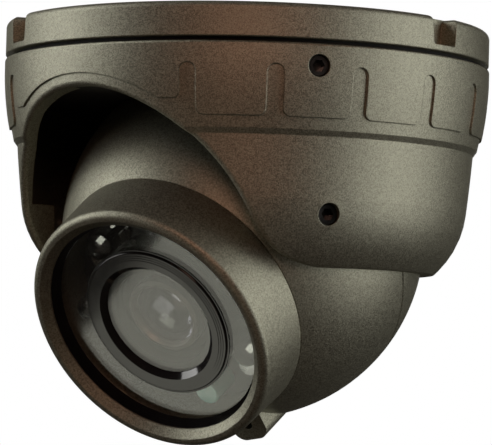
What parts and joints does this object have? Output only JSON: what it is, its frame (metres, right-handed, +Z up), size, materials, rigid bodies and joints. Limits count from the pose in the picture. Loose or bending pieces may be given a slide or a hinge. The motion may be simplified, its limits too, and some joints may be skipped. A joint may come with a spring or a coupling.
{
  "type": "dome security camera",
  "caption": "Ceiling dome camera: metal ball with lens, infrared lamps and barrel, aimed through the arch of a round cover on a base ring.",
  "frame": {"origin": "middle of the flat face that meets the ceiling", "axes": "+Z up into the ceiling, the cover's arch faces -Y, +X to the arch's right seen from the front"},
  "size_m": [0.0902, 0.0902, 0.0776],
  "materials": {
    "painted_casting": "fine sand texture, satin",
    "steel": "plain",
    "black_oxide_steel": "black oxide",
    "black_rubber": "matt",
    "black_nylon": "matt",
    "clear_glass": "clear, polished",
    "coated_glass": "clear, coated",
    "filter_glass": "tinted, coated",
    "clear_resin": "clear, polished",
    "bright_plating": "bright",
    "teal_resin": "milky",
    "gloss_black": "high gloss",
    "black_anodised": "anodised, satin",
    "board_green": "solder mask",
    "board_black": "black solder mask",
    "chip_black": "moulded",
    "brass": "turned",
    "can_aluminium": "satin",
    "connector_white": "moulded",
    "lead_red": "sleeved",
    "sensor_silicon": "polished"
  },
  "bodies": {
    "base": {"mounting_base": "painted_casting", "spigot_ring": "painted_casting", "cover_gasket": "black_rubber"},
    "cover": {"cover_shell": "painted_casting"},
    "cover_screw_1": {"cover_set_screw_1": "black_oxide_steel"},
    "cover_screw_2": {"cover_set_screw_2": "black_oxide_steel"},
    "cover_screw_3": {"cover_set_screw_3": "black_oxide_steel"},
    "ball_lock_1": {"ball_lock_screw_1": "black_oxide_steel"},
    "ball_lock_2": {"ball_lock_screw_2": "black_oxide_steel"},
    "swivel": {"friction_plate": "black_nylon"},
    "tilt": {"seam_seal": "black_rubber"},
    "lens": {"lens_barrel": "black_anodised", "front_element": "coated_glass", "rear_element": "coated_glass"},
    "filter": {"filter_slide": "black_nylon", "day_filter": "filter_glass", "night_glass": "clear_glass"},
    "ball": {"ball_front_shell": "painted_casting", "ball_rear_cap": "painted_casting", "ball_shell_screws": "black_oxide_steel", "bezel_ring": "painted_casting", "board_screws": "steel", "cable_connector": "connector_white", "cable_grommet": "black_rubber", "capacitors": "can_aluminium", "filter_coil": "chip_black", "front_posts": "brass", "image_sensor": "sensor_silicon", "ir_led_1": "clear_resin", "ir_led_2": "clear_resin", "ir_led_3": "clear_resin", "ir_led_4": "clear_resin", "ir_led_5": "clear_resin", "ir_led_6": "clear_resin", "lead_connectors": "connector_white", "led_board": "board_black", "led_cups": "bright_plating", "led_lead": "lead_red", "lens_holder": "black_nylon", "lens_lock_ring": "black_anodised", "lens_shroud": "gloss_black", "light_seal": "black_rubber", "light_sensor": "teal_resin", "power_board": "board_green", "power_coil": "chip_black", "rear_posts": "brass", "retainer_ring": "gloss_black", "sensor_board": "board_green", "sensor_cover_glass": "clear_glass", "shroud_glass": "clear_glass", "signal_chip": "chip_black", "window_gasket": "black_rubber", "window_glass": "clear_glass"}
  },
  "joints": [
    {"name": "cover_pan", "type": "hinge", "parent": "base", "child": "cover", "pos_m": [0, 0, 0], "axis": [0, 0, 1], "range_deg": [-180, 180]},
    {"name": "ball_swivel", "type": "hinge", "parent": "cover", "child": "swivel", "pos_m": [0, 0, -0.0386], "axis": [0, 0, 1], "range_deg": [-14.3, 0.3]},
    {"name": "ball_tilt", "type": "hinge", "parent": "swivel", "child": "tilt", "pos_m": [0, 0, -0.0386], "axis": [0.9919, 0.1271, 0], "range_deg": [-20, 56.6]},
    {"name": "ball_roll", "type": "hinge", "parent": "tilt", "child": "ball", "pos_m": [0, 0, -0.0386], "axis": [0.1061, -0.8281, -0.5505], "range_deg": [-39, 21]},
    {"name": "lens_focus", "type": "hinge", "parent": "ball", "child": "lens", "pos_m": [0, 0, -0.0386], "axis": [0.1061, -0.8281, -0.5505], "range_deg": [-180, 180]},
    {"name": "filter_shift", "type": "slide", "parent": "ball", "child": "filter", "axis": [-0.9906, -0.0401, -0.1306], "range_m": [0, 0.0065]},
    {"name": "cover_screw_1_out", "type": "slide", "parent": "cover", "child": "cover_screw_1", "axis": [0.859, -0.512, 0], "range_m": [0, 0.0012]},
    {"name": "cover_screw_2_out", "type": "slide", "parent": "cover", "child": "cover_screw_2", "axis": [0.014, 0.9999, 0], "range_m": [0, 0.0012]},
    {"name": "cover_screw_3_out", "type": "slide", "parent": "cover", "child": "cover_screw_3", "axis": [-0.8729, -0.4879, 0], "range_m": [0, 0.0012]},
    {"name": "ball_lock_1_out", "type": "slide", "parent": "cover", "child": "ball_lock_1", "axis": [0.9026, -0.4305, 0], "range_m": [0, 0.001]},
    {"name": "ball_lock_2_out", "type": "slide", "parent": "cover", "child": "ball_lock_2", "axis": [-0.9026, -0.4305, 0], "range_m": [0, 0.001]}
  ]
}
